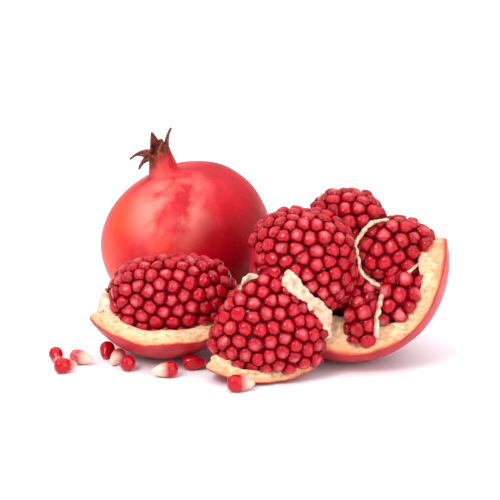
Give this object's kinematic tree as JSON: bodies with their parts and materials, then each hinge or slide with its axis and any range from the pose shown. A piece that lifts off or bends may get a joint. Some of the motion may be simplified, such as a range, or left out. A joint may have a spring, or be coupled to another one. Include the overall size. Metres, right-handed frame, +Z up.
{
  "type": "pomegranate",
  "caption": "Pomegranate served whole and broken open: a crowned whole fruit, an open half and wedges packed with arils, and loose arils beside them",
  "frame": {"origin": "middle of the small flat spot that the whole fruit rests on", "axes": "+Z up, +X along the row of fruit from the whole fruit to the open half, -Y towards the person it is served to"},
  "size_m": [0.2041, 0.1769, 0.1067],
  "materials": {
    "fruit_skin": "waxy crimson to orange-red pomegranate skin, fine pores, dried brown crown",
    "rind": "broken rind: waxy red skin outside, matt cream pith inside and on the torn edge",
    "membrane": "thin matt cream membrane with torn edges",
    "arils": "packed translucent crimson arils, wet and glossy",
    "loose_arils": "loose translucent red arils with pale pink pointed ends"
  },
  "bodies": {
    "root": {"whole_fruit": "fruit_skin", "left_wedge_rind": "rind", "front_wedge_rind": "rind", "open_half_rind": "rind", "left_wedge_membrane": "membrane", "front_wedge_membrane_left": "membrane", "front_wedge_membrane_right": "membrane", "open_half_membrane_middle": "membrane", "open_half_membrane_side": "membrane", "open_half_membrane_bottom": "membrane", "left_wedge_arils": "arils", "front_wedge_arils": "arils", "open_half_arils_left": "arils", "open_half_arils_top": "arils", "open_half_arils_upper_right": "arils", "open_half_arils_lower_right": "arils", "open_half_arils_centre": "arils", "open_half_arils_bottom": "arils", "open_half_arils_back": "arils", "loose_aril_1": "loose_arils", "loose_aril_2": "loose_arils", "loose_aril_3": "loose_arils", "loose_aril_4": "loose_arils", "loose_aril_5": "loose_arils", "loose_aril_6": "loose_arils", "loose_aril_7": "loose_arils", "loose_aril_8": "loose_arils", "loose_aril_9": "loose_arils"}
  },
  "joints": []
}
